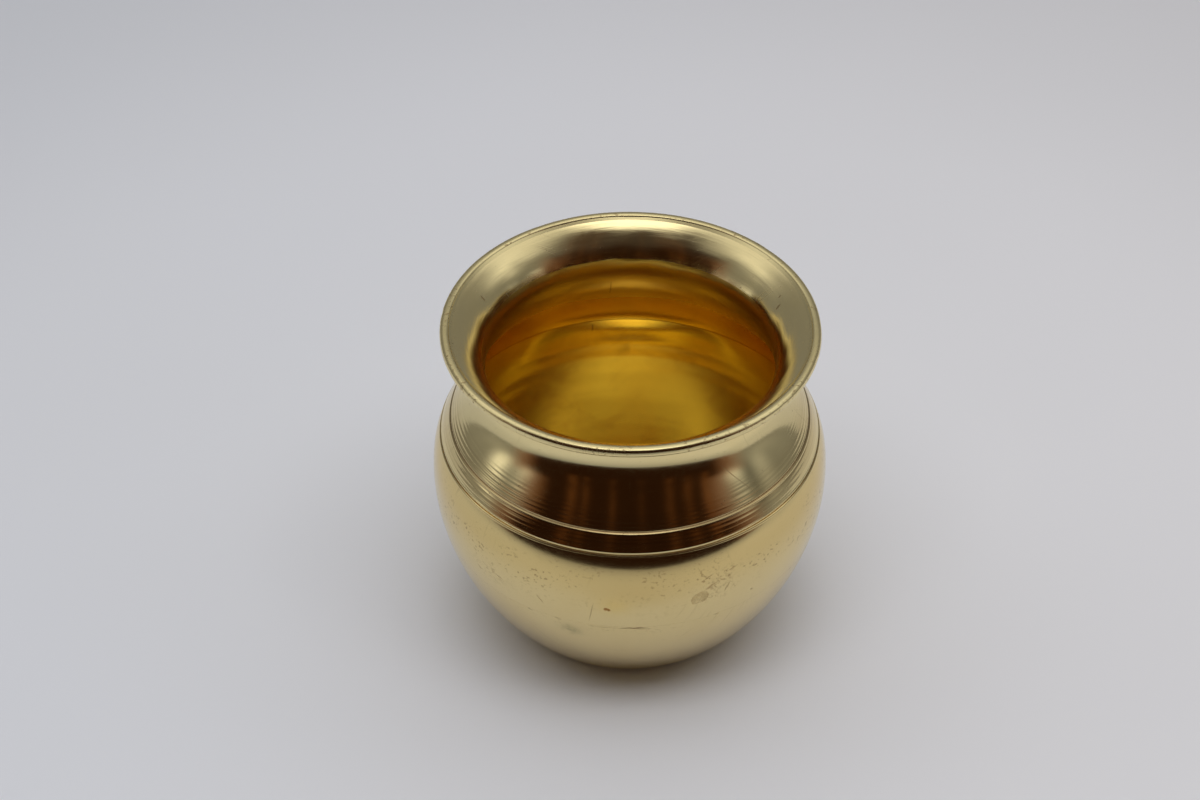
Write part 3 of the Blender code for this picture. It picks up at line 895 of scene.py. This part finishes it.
sides = wadd(
    wmath("MULTIPLY", wmath("MULTIPLY", bell(wmath("ABSOLUTE", azimuth), 180.0, 50.0), bell(elevation, 52.0, 14.0)), 0.2),
    lobe(-100.0, 37.0, 13.0, 9.0, 0.68),
    lobe(100.0, 37.0, 13.0, 9.0, 0.70),
    lobe(-88.0, 9.5, 7.0, 4.5, 0.80),
    lobe(-70.0, 13.5, 6.0, 4.0, 0.32),
    lobe(70.0, 13.0, 6.0, 4.0, 0.37),
    lobe(-97.0, 0.0, 12.0, 3.5, 0.07),
    lobe(97.0, 0.0, 12.0, 3.5, 0.07),
    lobe(89.0, 9.0, 6.0, 7.0, 0.16),
    lobe(80.0, 13.0, 4.5, 6.0, -0.10),
)
over = wmath("POWER", wadd(wmath("POWER", wmath("DIVIDE", wmath("ABSOLUTE", dx), 0.29), 2.0), wmath("POWER", wmath("DIVIDE", wmath("ABSOLUTE", wmath("ADD", dy, 0.06)), 0.27), 2.0)), 0.5)
panel = wmath("MULTIPLY", wramp(over, 0.85, 1.15, PANEL, 0.0), wramp(dz, 0.1, 0.3))
streaks = wadd(
    wmath("MULTIPLY", bell(azimuth, -37.0, 3.0), 1.3),
    wmath("MULTIPLY", bell(azimuth, -28.0, 2.0), 0.8),
    wmath("MULTIPLY", bell(azimuth, -10.5, 1.8), 0.8),
    wmath("MULTIPLY", bell(azimuth, 8.0, 2.0), 0.35),
    wmath("MULTIPLY", bell(azimuth, 26.0, 2.6), 1.0),
    wmath("MULTIPLY", bell(azimuth, 38.0, 3.0), 0.9),
    wmath("MULTIPLY", bell(azimuth, 50.0, 2.5), 1.2),
)
uneven = wn.new("ShaderNodeTexNoise")
wt.links.new(gen, uneven.inputs["Vector"])
uneven.inputs["Scale"].default_value = 7.0
warm = wmath("MULTIPLY", wmath("MULTIPLY", streaks, front), wramp(elevation, 2.0, 8.0))
warm = wmath("MULTIPLY", warm, wramp(uneven.outputs["Fac"], 0.3, 0.7, 0.35, 1.0))
warm = wmath("MULTIPLY", warm, 0.062)
level = wadd(walls, sides, panel)
white = wn.new("ShaderNodeVectorMath")
white.operation = "SCALE"
white.inputs[0].default_value = (0.99, 0.99, 1.0)
wt.links.new(level, white.inputs["Scale"])
amber = wn.new("ShaderNodeVectorMath")
amber.operation = "SCALE"
amber.inputs[0].default_value = (1.0, 0.36, 0.12)
halfway = wmath("MULTIPLY", wmath("MULTIPLY", front, wmath("SUBTRACT", 1.0, front)), wramp(elevation, 28.0, 42.0, 0.42, 0.0))
wt.links.new(wadd(warm, wmath("MULTIPLY", front, 0.018), halfway), amber.inputs["Scale"])
both = wn.new("ShaderNodeVectorMath")
both.operation = "ADD"
wt.links.new(white.outputs[0], both.inputs[0])
wt.links.new(amber.outputs[0], both.inputs[1])
wt.links.new(both.outputs[0], back.inputs["Color"])
back.inputs["Strength"].default_value = 1.0

# a broad soft lamp above the camera that only lifts the shadow on the sheet
lamp = bpy.data.lights.new("lamp", "AREA")
lamp.shape = "RECTANGLE"
lamp.size = 2.0
lamp.size_y = 0.6
lamp.energy = 9.9
lamp_obj = bpy.data.objects.new("lamp", lamp)
bpy.context.scene.collection.objects.link(lamp_obj)
lamp_obj.location = (0.06, -0.56, 1.7)
lamp_obj.rotation_euler = Vector((-0.06, 0.56, -1.7)).to_track_quat("-Z", "Y").to_euler()
lamp_obj.visible_glossy = False

# ---------------------------------------------------------------- camera, from the rim, the grooves and the outline in the photograph
cam = bpy.data.cameras.new("camera")
cam.sensor_fit = "HORIZONTAL"
cam.sensor_width = 22.3
cam.lens = 55.0
cam.clip_start = 0.01
eye = bpy.data.objects.new("camera", cam)
bpy.context.scene.collection.objects.link(eye)
RADIUS = 0.045
right = (0.999918788, 0.0127291419, -0.000621337)
up = (-0.00778046, 0.64834378, 0.76130796)
ahead = (-0.01009364, 0.7612413, -0.64839016)
where = (0.0, -12.04048717 * RADIUS, (9.75295438 + 1.94) * RADIUS)
eye.matrix_world = Matrix(
    [[right[k], up[k], -ahead[k], where[k]] for k in range(3)] + [[0, 0, 0, 1]]
)
scene = bpy.context.scene
scene.camera = eye
scene.view_settings.view_transform = "Standard"
scene.view_settings.look = "None"
scene.cycles.max_bounces = 16
scene.cycles.glossy_bounces = 14
scene.cycles.diffuse_bounces = 4
